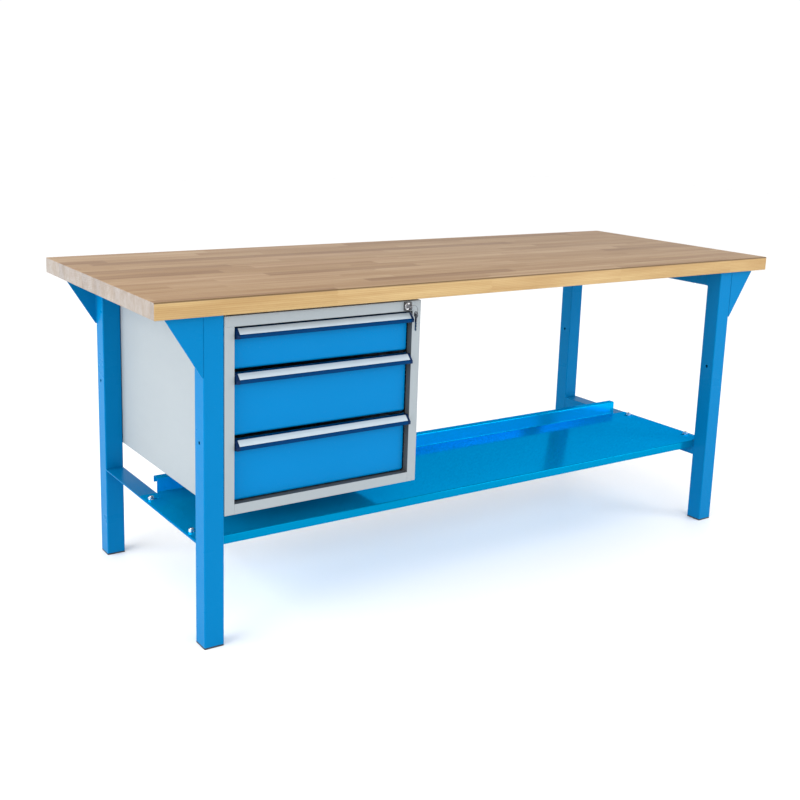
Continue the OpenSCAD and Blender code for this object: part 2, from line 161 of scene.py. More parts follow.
STAVE_W = 0.75 / 17
STAVE_L = 0.46
FINGER_L = 0.004
MOST_SLIP = 9.0
RING_PITCH = 0.0042
BEECH_TONES = [
    (0.00, (0.277, 0.172, 0.092)),
    (0.20, (0.348, 0.229, 0.126)),
    (0.45, (0.367, 0.247, 0.138)),
    (0.70, (0.388, 0.267, 0.154)),
    (0.88, (0.435, 0.310, 0.191)),
    (1.00, (0.353, 0.223, 0.126)),
]
HONEY = (0.485, 0.355, 0.162)
# End grain's own tone, made cooler and lighter as painted light from the lamp at the left.
SAWN_AND_LIT = (0.277, 0.302, 0.328)
GLUE = (0.20, 0.12, 0.065)
FLECK = (0.20, 0.11, 0.06)
# The colour of the painted shadow line along the top of the long edges.
EDGE_SHADOW = (0.085, 0.048, 0.022)
ARRIS = 0.0042


def staves(tree, place):
    """Blocks glued side by side and finger-jointed end to end: each block's dice, and its glue line."""
    x, y, z = axes(tree, place)
    across = maths(tree, "DIVIDE", y, STAVE_W)
    row = maths(tree, "FLOOR", across)
    slip = add(tree, "TexWhiteNoise", {"W": row}, noise_dimensions="1D").outputs["Value"]
    finger = maths(tree, "PINGPONG", z, FINGER_L)
    along = maths(tree, "DIVIDE", maths(tree, "ADD", x, finger), STAVE_L)
    along = maths(tree, "MULTIPLY_ADD", slip, MOST_SLIP, along)
    block_id = add(tree, "CombineXYZ", {0: row, 1: maths(tree, "FLOOR", along), 2: 0.0}).outputs[0]
    dice = add(tree, "TexWhiteNoise", {"Vector": block_id}, noise_dimensions="3D").outputs
    side_gap = maths(tree, "PINGPONG", across, 0.5)
    end_gap = maths(tree, "MULTIPLY", maths(tree, "PINGPONG", along, 0.5), STAVE_L / STAVE_W)
    line = spread(tree, maths(tree, "MINIMUM", side_gap, end_gap), 0.004, 0.020, 0.45, 0.0)
    return dice, line


def growth(tree, place, dice):
    """Clouds and rings: each stave is cut from its own place in a tree, so they differ between staves."""
    shift = scaled(tree, dice["Color"], (3.0, 0.10, 0.16))
    grown = add(tree, "VectorMath", {0: place, 1: shift}, operation="ADD").outputs[0]
    cloudy = noise(tree, scaled(tree, grown, (3.2, 34, 34)), 1.0, 4.0, 0.55)
    grown = scaled(tree, grown, (0.06, 1.0, 1.0))
    inputs = {"Vector": scaled(tree, grown, (26, 9, 9)), "Scale": 1.0, "Detail": 3.0}
    wobble = add(tree, "TexNoise", inputs).outputs["Color"]
    wobble = scaled(tree, wobble, (0, 0.016, 0.016))
    grown = add(tree, "VectorMath", {0: grown, 1: wobble}, operation="ADD").outputs[0]
    inputs = {"Vector": grown, "Scale": math.pi / 10 / RING_PITCH}
    rings = add(tree, "TexWave", inputs, wave_type="RINGS", rings_direction="X").outputs["Fac"]
    return cloudy, rings


def edge_shadow_line(tree, place, side):
    """1 along the top of the long edges, where a dark line of painted shadow runs, and 0 elsewhere."""
    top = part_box("worktop")[1].z
    near_top = spread(tree, axes(tree, place)[2], top - ARRIS, top - ARRIS * 0.6)
    return maths(tree, "MULTIPLY", near_top, spread(tree, side, 0.25, 0.5))


def beech():
    """Oiled beech staves with rings in their ends; each long edge is one honey-coloured board, and the
    ends are paler and cooler, partly as end grain and partly as painted light from the left.
    """
    material, tree, shader, place = new_material("beech_staves", IOR=1.45, Specular_IOR_Level=0.24)
    dice, line = staves(tree, place)
    cloudy, rings = growth(tree, place, dice)
    streaks = noise(tree, scaled(tree, place, (2.2, 150, 150)), 1.0, 5.0, 0.6)
    flecks = spread(tree, noise(tree, scaled(tree, place, (130, 1500, 1500)), 1.0, 1.0), 0.66, 0.74)
    normal = axes(tree, tree.nodes["Texture Coordinate"].outputs["Normal"])
    side = maths(tree, "ABSOLUTE", normal[1])
    on_edge = spread(tree, side, 0.6, 0.8)
    on_end = spread(tree, maths(tree, "ABSOLUTE", normal[0]), 0.6, 0.8)

    colour = ramp(tree, dice["Value"], BEECH_TONES)
    colour = mix(tree, maths(tree, "MULTIPLY", on_edge, 0.80), colour, shade(HONEY))
    # The ends: end grain's own tone, partly painted light from the left.
    colour = mix(tree, maths(tree, "MULTIPLY", on_end, 0.72), colour, shade(SAWN_AND_LIT))
    colour = stain(tree, colour, cloudy, 0.32, 0.66, 0.85, (0.78, 0.70, 0.62))
    colour = stain(tree, colour, rings, 0.2, 0.95, 0.26, (0.66, 0.50, 0.38))
    colour = stain(tree, colour, streaks, 0.3, 0.7, 0.50, (0.80, 0.72, 0.64))
    colour = mix(tree, maths(tree, "MULTIPLY", flecks, 0.25), colour, shade(FLECK))
    # Painted shadow: a dark line along the top of the long edges, where the rounded arris falls into
    # shade.
    shadow_line = edge_shadow_line(tree, place, side)
    colour = mix(tree, maths(tree, "MULTIPLY", shadow_line, 0.85), colour, shade(EDGE_SHADOW))
    line = maths(tree, "MULTIPLY", line, maths(tree, "SUBTRACT", 1.0, on_edge))
    feed(tree, shader, "Base Color", mix(tree, line, colour, shade(GLUE)))

    sheen = spread(tree, streaks, 0.3, 0.7, 0.46, 0.58)
    feed(tree, shader, "Roughness", maths(tree, "ADD", sheen, maths(tree, "MULTIPLY", flecks, 0.2)))
    height = maths(tree, "MULTIPLY_ADD", rings, 0.3, streaks)
    height = maths(tree, "SUBTRACT", height, flecks)
    height = maths(tree, "SUBTRACT", height, line)
    bump(tree, shader, height, 0.00006)
    return material


DUST = (0.55, 0.62, 0.68)


def powder_coat(name, colour, roughness, peel=0.00003, grain=1100.0, gloss=0.08, flake=0.0,
                edge_tint=(1, 1, 1), painted_shade_mask=None):
    """Baked powder paint: fine orange peel, faint clouds and small changes of gloss, with dusty specks.

    The last argument is a mask for the places painted darker as painted shade, and how much darker they
    are painted.
    """
    material, tree, shader, place = new_material(
        name, IOR=1.5, Specular_IOR_Level=gloss, Metallic=flake, Specular_Tint=shade(edge_tint))
    cloud = noise(tree, place, 2.3, 3.0)
    base = mix(tree, cloud, shade(colour, 0.94), shade(colour, 1.06))
    speck = spread(tree, noise(tree, place, 420.0, 1.0), 0.76, 0.80, 0.0, 0.09)
    base = mix(tree, speck, base, shade(DUST))
    # Painted shade: the masked places get a darker copy of the colour.
    if painted_shade_mask:
        mask, factor = painted_shade_mask
        base = mix(tree, mask(tree, place), base, shade(colour, factor))
    feed(tree, shader, "Base Color", base)
    smear = noise(tree, scaled(tree, place, (3.0, 3.0, 9.0)), 1.5, 4.0, 0.6)
    dull = spread(tree, smear, 0.3, 0.7, roughness * 0.85, roughness * 1.2)
    feed(tree, shader, "Roughness", maths(tree, "ADD", dull, maths(tree, "MULTIPLY", speck, 0.5)))
    bump(tree, shader, noise(tree, place, grain, 2.0), peel)
    return material


STILE_W = 25 * MM
OPENING_GAP = 5 * MM
OPENING_DEPTH = 21 * MM


def opening_painted_shade(tree, place):
    """1 on the returns round the drawer opening, which are painted much darker as painted shade, and 0
    elsewhere.
    """
    slack = 0.4 * MM
    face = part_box("cabinet_side_left")[0].y
    middle = (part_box("cabinet_back")[0].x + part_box("cabinet_back")[1].x) / 2
    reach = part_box("cabinet_side_right")[1].x - middle - STILE_W + slack
    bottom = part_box("cabinet_bottom")[0].z + STILE_W - slack
    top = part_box("drawer_front_1")[1].z + OPENING_GAP + slack
    x, y, z = axes(tree, place)
    across = maths(tree, "ABSOLUTE", maths(tree, "SUBTRACT", x, middle))
    within = maths(tree, "LESS_THAN", across, reach)
    for value, operation, limit in (
            (z, "GREATER_THAN", bottom),
            (z, "LESS_THAN", top),
            (y, "GREATER_THAN", face + 0.2 * MM),
            (y, "LESS_THAN", face + OPENING_DEPTH)):
        within = maths(tree, "MULTIPLY", within, maths(tree, operation, value, limit))
    return within


def flange_painted_shade(tree, place):
    """1 on the front flange of the shelf, which is painted darker than the floor as painted shade, and 0
    elsewhere.
    """
    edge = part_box("shelf")[0].y + 2.5 * MM
    return maths(tree, "LESS_THAN", axes(tree, place)[1], edge)


def brushed_metal(name, colour, roughness, run=(4.0, 900.0, 900.0), depth=0.00001, metal=1.0):
    """Bare metal with fine lines along one direction and faint clouds of tarnish."""
    material, tree, shader, place = new_material(name, Metallic=metal)
    lines = noise(tree, scaled(tree, place, run), 1.0, 3.0, 0.7)
    cloud = noise(tree, place, 14.0, 3.0)
    base = mix(tree, lines, shade(colour, 0.86), shade(colour, 1.06))
    base = mix(tree, spread(tree, cloud, 0.45, 0.75, 0.0, 0.25), base, shade(colour, 0.75))
    feed(tree, shader, "Base Color", base)
    feed(tree, shader, "Roughness", spread(tree, lines, 0.25, 0.75, roughness * 0.75, roughness * 1.3))
    bump(tree, shader, lines, depth)
    return material


YELLOWED = (0.62, 0.58, 0.46)


def zinc_plate(name, colour, roughness):
    """Bright zinc plating with a crystalline mottle."""
    material, tree, shader, place = new_material(name, Metallic=1.0)
    cells = add(tree, "TexVoronoi", {"Vector": place, "Scale": 160.0}).outputs["Color"]
    mottle = add(tree, "SeparateColor", {0: cells}).outputs[0]
    cloud = noise(tree, place, 25.0, 4.0)
    base = mix(tree, mottle, shade(colour, 0.88), shade(colour, 1.05))
    base = mix(tree, spread(tree, cloud, 0.5, 0.8, 0.0, 0.35), base, shade(YELLOWED))
    feed(tree, shader, "Base Color", base)
    feed(tree, shader, "Roughness", spread(tree, mottle, 0.0, 1.0, roughness * 0.8, roughness * 1.25))
    bump(tree, shader, noise(tree, place, 700.0, 3.0), 0.00002)
    return material


def polished(name, colour, roughness):
    """Bright plating with hairline scratches and a fingerprint haze."""
    material, tree, shader, place = new_material(name, Metallic=1.0)
    haze = noise(tree, place, 60.0, 4.0)
    scratch = spread(tree, noise(tree, scaled(tree, place, (90, 1400, 1400)), 1.0, 2.0), 0.62, 0.68)
    base = mix(tree, haze, shade(colour, 0.92), shade(colour, 1.04))
    base = mix(tree, maths(tree, "MULTIPLY", scratch, 0.3), base, shade(colour, 0.6))
    feed(tree, shader, "Base Color", base)
    feed(tree, shader, "Roughness", spread(tree, haze, 0.3, 0.75, roughness * 0.6, roughness * 1.8))
    bump(tree, shader, scratch, 0.000004)
    return material


def moulded_plastic(name, colour, roughness, gloss=0.5):
    """Moulded plastic with a fine spark-eroded grain and lighter rubbed patches."""
    material, tree, shader, place = new_material(name, IOR=1.48, Specular_IOR_Level=gloss)
    grain = noise(tree, place, 1800.0, 2.0)
    rub = spread(tree, noise(tree, place, 38.0, 5.0, 0.65), 0.55, 0.75, 0.0, 0.4)
    base = mix(tree, rub, shade(colour), shade(colour, 2.2))
    feed(tree, shader, "Base Color", base)
    feed(tree, shader, "Roughness", spread(tree, grain, 0.3, 0.7, roughness * 0.85, roughness * 1.15))
    bump(tree, shader, grain, 0.00004)
    return material


WHITE = (1.0, 1.0, 1.0)


def studio_floor():
    """A pale matt floor with faint clouds."""
    material, tree, shader, place = new_material("pale_floor", Roughness=0.55)
    cloud = noise(tree, place, 1.2, 3.0)
    feed(tree, shader, "Base Color", mix(tree, cloud, shade(WHITE, 0.955), shade(WHITE, 0.98)))
    return material


BLUE = (0.0, 0.145, 0.355)
SHELF_BLUE = (0.0, 0.315, 0.64)
SHELF_SHEEN = (0.02, 0.48, 0.88)
FRONT_BLUE = (0.0, 0.158, 0.400)
GREY = (0.272, 0.306, 0.328)
MATERIALS = {
    "beech": beech(),
    "frame_blue": powder_coat("frame_paint", BLUE, 0.30, gloss=0.04),
    # The shelf's front flange is painted darker, as painted shade.
    "shelf_blue": powder_coat("shelf_paint", SHELF_BLUE, 0.12, peel=0.000003, gloss=0.0, flake=0.5,
                              edge_tint=SHELF_SHEEN, painted_shade_mask=(flange_painted_shade, 0.60)),
    "front_blue": powder_coat("front_paint", FRONT_BLUE, 0.16, peel=0.000015, gloss=0.05),
    # The returns round the drawer opening are painted darker, as painted shade.
    "cabinet_grey": powder_coat("cabinet_paint", GREY, 0.36, grain=1400.0, painted_shade_mask=(opening_painted_shade, 0.26)),
    "drawer_steel": powder_coat("drawer_paint", (0.29, 0.33, 0.35), 0.40, grain=1400.0),
    "handle_aluminium": brushed_metal("handle_strip_metal", (0.44, 0.52, 0.58), 0.42, metal=0.35),
    "slide_steel": brushed_metal("slide_zinc", (0.50, 0.52, 0.55), 0.34, run=(900.0, 6.0, 900.0)),
    "zinc": zinc_plate("bolt_zinc", (0.72, 0.73, 0.75), 0.24),
    "lock_chrome": polished("lock_plating", (0.78, 0.78, 0.80), 0.10),
    "key_nickel": polished("key_plating", (0.16, 0.165, 0.18), 0.22),
    "foot_plastic": moulded_plastic("foot_moulding", (0.012, 0.012, 0.014), 0.5),
}
# The handle rail's near-black navy is partly its own paint and partly painted shade: it stands in for the
# shade in the gap above the strip and under the lip.
HANDLE_PAINT_AND_SHADE = powder_coat("handle_paint_and_shade", (0.0, 0.028, 0.102), 0.10, peel=0.000006, gloss=0.03)
CAP_PLASTIC = moulded_plastic("handle_cap_moulding", (0.001, 0.014, 0.055), 0.30, gloss=0.10)
BEZEL_PLASTIC = moulded_plastic("bezel_moulding", (0.035, 0.036, 0.04), 0.32)


# ---------------------------------------------------------------- mesh helpers

ALONG = {
    "x": lambda u, v, w: Vector((w, u, v)),
    "y": lambda u, v, w: Vector((u, w, v)),
    "z": lambda u, v, w: Vector((u, v, w)),
}


def turned(vector, angle):
    """A flat vector turned anticlockwise."""
    c, s = math.cos(angle), math.sin(angle)
    return Vector((vector.x * c - vector.y * s, vector.x * s + vector.y * c))


def turn_between(a, b):
    """The angle from one flat vector to another."""
    return math.atan2(a.x * b.y - a.y * b.x, a.dot(b))


def rounded(points, radii, steps=5):
    """A closed outline with arcs for corners; radii is one radius, or one for each corner."""
    points = [Vector(p) for p in points]
    radii = radii if isinstance(radii, (list, tuple)) else [radii] * len(points)
    outline = []
    for i, (corner, radius) in enumerate(zip(points, radii)):
        before = (points[i - 1] - corner).normalized()
        after = (points[(i + 1) % len(points)] - corner).normalized()
        if radius == 0:
            outline.append(corner)
            continue
        half = abs(turn_between(before, after)) / 2
        centre = corner + (before + after).normalized() * (radius / math.sin(half))
        start = corner + before * (radius / math.tan(half)) - centre
        end = corner + after * (radius / math.tan(half)) - centre
        turn = turn_between(start, end)
        outline += [centre + turned(start, turn * k / steps) for k in range(steps + 1)]
    return outline


def bent_sheet(path, thickness, radius, steps=6):
    """The outline of a sheet folded along an open path through the middle of its thickness."""
    path = [Vector(p) for p in path]

    def left_of(direction):
        return Vector((-direction.y, direction.x))

    spine = [(path[0], left_of((path[1] - path[0]).normalized()))]
    for before, corner, after in zip(path, path[1:], path[2:]):
        arriving = (corner - before).normalized()
        turn = turn_between(arriving, (after - corner).normalized())
        side = left_of(arriving) * math.copysign(radius, turn)
        centre = corner - arriving * (radius * math.tan(abs(turn) / 2)) + side
        for k in range(steps + 1):
            angle = turn * k / steps
            spine.append((centre + turned(-side, angle), left_of(turned(arriving, angle))))
    spine.append((path[-1], left_of((path[-1] - path[-2]).normalized())))
    half = thickness / 2
    return [p + n * half for p, n in spine] + [p - n * half for p, n in reversed(spine)]


def circle(centre, radius, steps=24):
    return [Vector(centre) + turned(Vector((radius, 0)), math.tau * k / steps) for k in range(steps)]


def slot_outline(centre, length, radius, steps=10):
    """A slot with round ends that runs along the first axis."""
    centre = Vector(centre)
    outline = []
    for end in (1, -1):
        middle = centre + Vector((end * (length / 2 - radius), 0))
        start = Vector((0, -end * radius))
        outline += [middle + turned(start, math.pi * k / steps) for k in range(steps + 1)]
    return outline


def prism(bm, loops, axis, near, far):
    """A solid between two planes across an axis: loops are its outline and then its holes."""
    place = ALONG[axis]
    rings = [[[bm.verts.new(place(u, v, w)) for u, v in loop] for loop in loops] for w in (near, far)]
    triangles = tessellate_polygon([[Vector((u, v, 0)) for u, v in loop] for loop in loops])
    for ring in rings:
        verts = [vert for loop in ring for vert in loop]
        for triangle in triangles:
            bm.faces.new([verts[i] for i in triangle])
    for near_loop, far_loop in zip(*rings):
        for i in range(len(near_loop)):
            bm.faces.new((near_loop[i - 1], near_loop[i], far_loop[i], far_loop[i - 1]))


def weld(bm, rings):
    """Joins the points of one shell that lie in the same place."""
    bmesh.ops.remove_doubles(bm, verts=[vert for ring in rings for vert in ring], dist=1e-6)


def lathe(bm, profile, centre, axis="z", steps=28):
    """A solid of revolution; profile is a closed outline of radius and height along the axis."""
    centre = Vector(centre)
    rings = []
    for k in range(steps):
        c, s = math.cos(math.tau * k / steps), math.sin(math.tau * k / steps)
        rings.append([bm.verts.new(centre + ALONG[axis](r * c, r * s, h)) for r, h in profile])
    for ring, following in zip(rings, rings[1:] + rings[:1]):
        for i in range(len(profile)):
            bm.faces.new((ring[i - 1], ring[i], following[i], following[i - 1]))
    weld(bm, rings)


def block(bm, low, high, round_by=0.0, steps=3):
    """A box with rounded edges."""
    made = bmesh.ops.create_cube(bm, size=1.0)["verts"]
    low, high = Vector(low), Vector(high)
    for vert in made:
        vert.co = (low + high) / 2 + vert.co * (high - low)
    if round_by:
        edges = list({edge for vert in made for edge in vert.link_edges})
        bmesh.ops.bevel(bm, geom=edges, offset=round_by, segments=steps, profile=0.5, affect="EDGES")


def tube(bm, rings):
    """Joins a row of rings of points into a tube with closed ends."""
    for a, b in zip(rings, rings[1:]):
        for i in range(len(a)):
            bm.faces.new((a[i - 1], a[i], b[i], b[i - 1]))
    bm.faces.new(rings[0])
    bm.faces.new(rings[-1])


def bead(bm, path, radius, pitch=0.0024, sides=7):
    """A weld bead: a rippled tube along a path of straight runs."""
    path = [Vector(p) for p in path]
    points = []
    for a, b in zip(path, path[1:]):
        count = max(2, round((b - a).length / (pitch / 3)))
        points += [a.lerp(b, k / count) for k in range(count)]
    points.append(path[-1])
    rings = []
    for i, point in enumerate(points):
        heading = (points[min(i + 1, len(points) - 1)] - points[max(i - 1, 0)]).normalized()
        side = heading.cross(Vector((0.31, 0.53, 0.79))).normalized()
        up = heading.cross(side)
        swell = radius * (0.88 + 0.12 * math.cos(math.tau * i / 3) + random.uniform(-0.06, 0.06))
        rings.append([
            bm.verts.new(point + (side * math.cos(a) + up * math.sin(a)) * swell)
            for a in (math.tau * k / sides for k in range(sides))
        ])
    tube(bm, rings)


def piece(name, bm, material, body, replaces=(), sharp=38):
    """Turns a bmesh into a finished piece that rides on a body."""
    bmesh.ops.recalc_face_normals(bm, faces=bm.faces)
    mesh = bpy.data.meshes.new(name)
    bm.to_mesh(mesh)
    bm.free()
    mesh.shade_smooth()
    mesh.set_sharp_from_angle(angle=math.radians(sharp))
    mesh.materials.append(material)
    made = bpy.data.objects.new(name, mesh)
    bpy.context.scene.collection.objects.link(made)
    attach(made, body)
    if replaces:
        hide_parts(*replaces)
    return made


def soften(made, width, limit):
    """Rounds the edges of a piece that are sharper than limit degrees."""
    edge = made.modifiers.new("edge", "BEVEL")
    edge.width = width
    edge.segments = 2
    edge.limit_method = "ANGLE"
    edge.angle_limit = math.radians(limit)


def ease(node, width, steps=2):
    """Rounds the sharp edges of a CAD node with modifiers, which leaves its own mesh alone."""
    made = frame["nodes"][node]
    weld = made.modifiers.new("weld", "WELD")
    weld.merge_threshold = 0.00001
    bevel = made.modifiers.new("bevel", "BEVEL")
    bevel.width = width
    bevel.segments = steps
    bevel.limit_method = "ANGLE"
    bevel.angle_limit = math.radians(40)
    bevel.harden_normals = True


# ---------------------------------------------------------------- carried-over CAD nodes

SLOTS = {part["node"]: part["material_slot"] for part in frame["record"]["subparts"]}


def paint_cad_nodes():
    """Gives every CAD node the material of its slot."""
    for name, made in frame["nodes"].items():
        made.data.materials.clear()
        made.data.materials.append(MATERIALS[SLOTS[name]])


def ease_cad_nodes():
    """Softens the edges of the CAD nodes that show."""
    for end, side in CORNERS:
        ease(f"gusset_{end}_{side}", 0.7 * MM)
        ease(f"foot_{end}_{side}", 0.8 * MM)
    for side in SIDES:
        ease(f"lower_rail_{side}", 0.8 * MM)
        ease(f"cabinet_side_{side}", 0.6 * MM)
        for row in ROWS:
            ease(f"slide_fixed_{side}_{row}", 0.3 * MM)
            ease(f"slide_middle_{side}_{row}", 0.3 * MM)
            ease(f"slide_drawer_{side}_{row}", 0.3 * MM)
    for name in ("cabinet_top", "cabinet_bottom", "lock_bar", "lock_bar_guides", "cabinet_hangers"):
        ease(name, 0.5 * MM)
    for row in ROWS:
        ease(f"drawer_box_{row}", 0.5 * MM)


# ---------------------------------------------------------------- the worktop

def make_worktop():
    """One slab with softened edges."""
    low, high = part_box("worktop")
    bm = bmesh.new()
    block(bm, low, high, round_by=2.2 * MM, steps=4)
    piece("worktop_boards", bm, MATERIALS["beech"], "root", ["worktop"])


# ---------------------------------------------------------------- frame welds

def gusset_seam(end, side, outward):
    """The seam up the back of a gusset, where it meets its leg."""
    leg_low, leg_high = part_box(f"leg_{end}_{side}")
    plate_low, plate_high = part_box(f"gusset_{end}_{side}")
    x = (leg_low.x if side == "left" else leg_high.x) + outward * 0.3 * MM
    y = plate_high.y + 0.4 * MM if end == "front" else plate_low.y - 0.4 * MM
    return [(x, y, plate_low.z + 2 * MM), (x, y, plate_high.z - 2 * MM)]


def beam_seam(side, y):
    """The seam down the sides and along the bottom of a top beam, at its end on a leg."""
    low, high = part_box(f"top_beam_{side}")
    inset = 2.5 * MM
    return [
        (low.x, y, high.z - 2 * MM),
        (low.x, y, low.z + inset),
        (low.x + inset, y, low.z),
        (high.x - inset, y, low.z),
        (high.x, y, low.z + inset),
        (high.x, y, high.z - 2 * MM),
    ]


def rail_seam(side, y, outward):
    """The seam in the inner corner of a lower rail, at its end on a leg."""
    low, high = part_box(f"lower_rail_{side}")
    inner_x = low.x if side == "right" else high.x
    outer_x = high.x if side == "right" else low.x
    web_x = inner_x + outward * 3 * MM
    under = high.z - 3 * MM
    return [(outer_x - outward * 4 * MM, y, under), (web_x, y, under), (web_x, y, low.z + 1 * MM)]


def make_welds():
    """Beads where the gussets, top beams and lower rails meet the legs."""
    bm = bmesh.new()
    for end, side in CORNERS:
        outward = -1 if side == "left" else 1
        leg_low, leg_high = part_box(f"leg_{end}_{side}")
        joint_y = leg_high.y if end == "front" else leg_low.y
        bead(bm, gusset_seam(end, side, outward), 2.0 * MM)
        bead(bm, beam_seam(side, joint_y), 1.8 * MM)
        bead(bm, rail_seam(side, joint_y, outward), 1.8 * MM)
    piece("frame_welds", bm, MATERIALS["frame_blue"], "root")


# ---------------------------------------------------------------- the shelf

SHEET = 1.5 * MM
BEND = 2.4 * MM
HOOK_W = 22 * MM
HOOK_DROP = 18 * MM
TAB_NOTCH = 5 * MM
SLOT_L = 30 * MM
WASHER_R = 8.0 * MM
WASHER_T = 1.6 * MM
NUT_R = 7.5 * MM
NUT_H = 5.5 * MM
NUT_TAPER = 0.7 * MM
BOLT_R = 4.0 * MM
HEAD_H = 5.5 * MM
HEAD_TAPER = 0.9 * MM
THREAD_PITCH = 1.25 * MM


def shelf_tab(side, inner_x, outer_x, front_y, back_y, bolt_x, bolt_ys):
    """The outline and slots of the tab at one end of the shelf, which lies on a rail."""
    near, far = sorted((side * inner_x, side * outer_x))
    radii = [0, 4 * MM, 4 * MM, 0] if side > 0 else [4 * MM, 0, 0, 4 * MM]
    tab = rounded([(near, front_y), (far, front_y), (far, back_y), (near, back_y)], radii)
    return [tab] + [slot_outline((side * bolt_x, y), SLOT_L, 4.5 * MM) for y in bolt_ys]


def make_shelf():
    """A folded sheet with round bends, whose ends lie on the rails and are slotted for the bolts."""
    low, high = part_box("shelf")
    rail_low, rail_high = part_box("lower_rail_right")
    bolts_low, bolts_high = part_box("shelf_bolts")
    floor_z = rail_high.z + SHEET / 2
    flange_x = rail_low.x - 1 * MM
    front_y = low.y + SHEET / 2
    hook_y = high.y - SHEET / 2
    up_y = high.y - HOOK_W - SHEET / 2
    top_z = high.z - SHEET / 2
    bm = bmesh.new()
    outline = bent_sheet([
        (front_y, low.z),
        (front_y, floor_z),
        (up_y, floor_z),
        (up_y, top_z),
        (hook_y, top_z),
        (hook_y, high.z - HOOK_DROP),
    ], SHEET, BEND)
    prism(bm, [outline], "x", -flange_x, flange_x)
    bolt_ys = (bolts_low.y + WASHER_R, bolts_high.y - WASHER_R)
    rail_x = (rail_low.x + rail_high.x) / 2
    for side in (-1, 1):
        loops = shelf_tab(side, flange_x, high.x, front_y + TAB_NOTCH, up_y - TAB_NOTCH, rail_x, bolt_ys)
        prism(bm, loops, "z", floor_z - SHEET / 2, floor_z + SHEET / 2)
    piece("shelf_sheet", bm, MATERIALS["shelf_blue"], "root", ["shelf"], sharp=30)
    make_shelf_bolts(bolts_low, bolts_high, floor_z + SHEET / 2)


def thread(radius, pitch, low, high):
    """A profile of thread crests from low to high, closed along the axis."""
    profile = [(0.0, low), (radius * 0.84, low)]
    z = low
    while z + pitch < high:
        profile += [(radius, z + pitch * 0.5), (radius * 0.86, z + pitch)]
        z += pitch
    return profile + [(radius * 0.7, high), (0.0, high)]


def washer(bm, x, y, z):
    inner, rim = BOLT_R + 0.3 * MM, 0.25 * MM
    corners = [(inner, z), (WASHER_R, z), (WASHER_R, z + WASHER_T), (inner, z + WASHER_T)]
    lathe(bm, rounded(corners, rim, 2), (x, y, 0), steps=32)


def bolt_head(bm, x, y, low_z):
    """A hexagon with a round chamfer under it."""
    shoulder = low_z + HEAD_TAPER
    prism(bm, [circle((x, y), NUT_R, steps=6)], "z", shoulder, low_z + HEAD_H)
    chamfer = [(0, low_z), (NUT_R * 0.80, low_z), (NUT_R * 0.88, shoulder), (0, shoulder)]
    lathe(bm, chamfer, (x, y, 0))


def nut(bm, x, y, z):
    """A hexagon with a bore, and a round chamfer on both its faces."""
    low_z, high_z = z + 0.5 * MM, z + NUT_H - NUT_TAPER
    bore = circle((x, y), BOLT_R + 0.1 * MM)[::-1]
    prism(bm, [circle((x, y), NUT_R, steps=6), bore], "z", low_z, high_z)
    for inner_z, face_z in ((low_z, z), (high_z, z + NUT_H)):
        lathe(bm, [
            (BOLT_R, inner_z),
            (NUT_R * 0.88, inner_z),
            (NUT_R * 0.78, face_z),
            (BOLT_R + 0.4 * MM, face_z),
        ], (x, y, 0))


def make_shelf_bolts(low, high, shelf_top):
    """Hexagon bolts with washers and nuts, and a bit of thread standing out of each nut."""
    bm = bmesh.new()
    for x in (low.x + WASHER_R, high.x - WASHER_R):
        for y in (low.y + WASHER_R, high.y - WASHER_R):
            washer(bm, x, y, low.z + HEAD_H)
            washer(bm, x, y, shelf_top)
            bolt_head(bm, x, y, low.z)
            nut(bm, x, y, shelf_top + WASHER_T)
            lathe(bm, thread(BOLT_R, THREAD_PITCH, low.z + HEAD_H, high.z), (x, y, 0), steps=20)
    piece("shelf_fixings", bm, MATERIALS["zinc"], "root", ["shelf_bolts"], sharp=28)


# ---------------------------------------------------------------- drawers

FRONT_BEND = 6.2 * MM
BEND_STEPS = 8
FLAT_MARGIN = 1.0 * MM


def front_lines(low, high):
    """The sheet's fold lines: columns from its left to its right flange, and rows from the bottom up.

    Each line has the place of its bend's centre, its angle round the bend, and how far back it lies.
    """
    inset = SHEET / 2 + FRONT_BEND
    left, right, floor = low.x + inset, high.x - inset, low.z + inset
    flange = high.y - low.y - inset
    quarter = [math.pi / 2 * k / BEND_STEPS for k in range(BEND_STEPS + 1)]
    columns = [(left, -quarter[-1], flange)]
    columns += [(left, -angle, 0) for angle in reversed(quarter)]
    columns += [(left + FLAT_MARGIN, 0, 0), (right - FLAT_MARGIN, 0, 0)]
    columns += [(right, angle, 0) for angle in quarter]
    columns += [(right, quarter[-1], flange)]
    rows = [(floor, quarter[-1], flange)]
    rows += [(floor, angle, 0) for angle in reversed(quarter)]
    rows += [(floor + FLAT_MARGIN, 0, 0), (high.z, 0, 0)]
    return columns, rows


def front_cells(columns, rows):
    """The cells between the fold lines that hold sheet: the flanges don't meet behind a lower corner."""
    last = len(columns) - 2
    bend = BEND_STEPS
    cells = {(i, j) for i in range(last + 1) for j in range(bend + 1, len(rows) - 1)}
    cells |= {(i, j) for i in range(1, last) for j in range(1, bend + 1)}
    return cells | {(i, 0) for i in range(bend + 1, last - bend)}


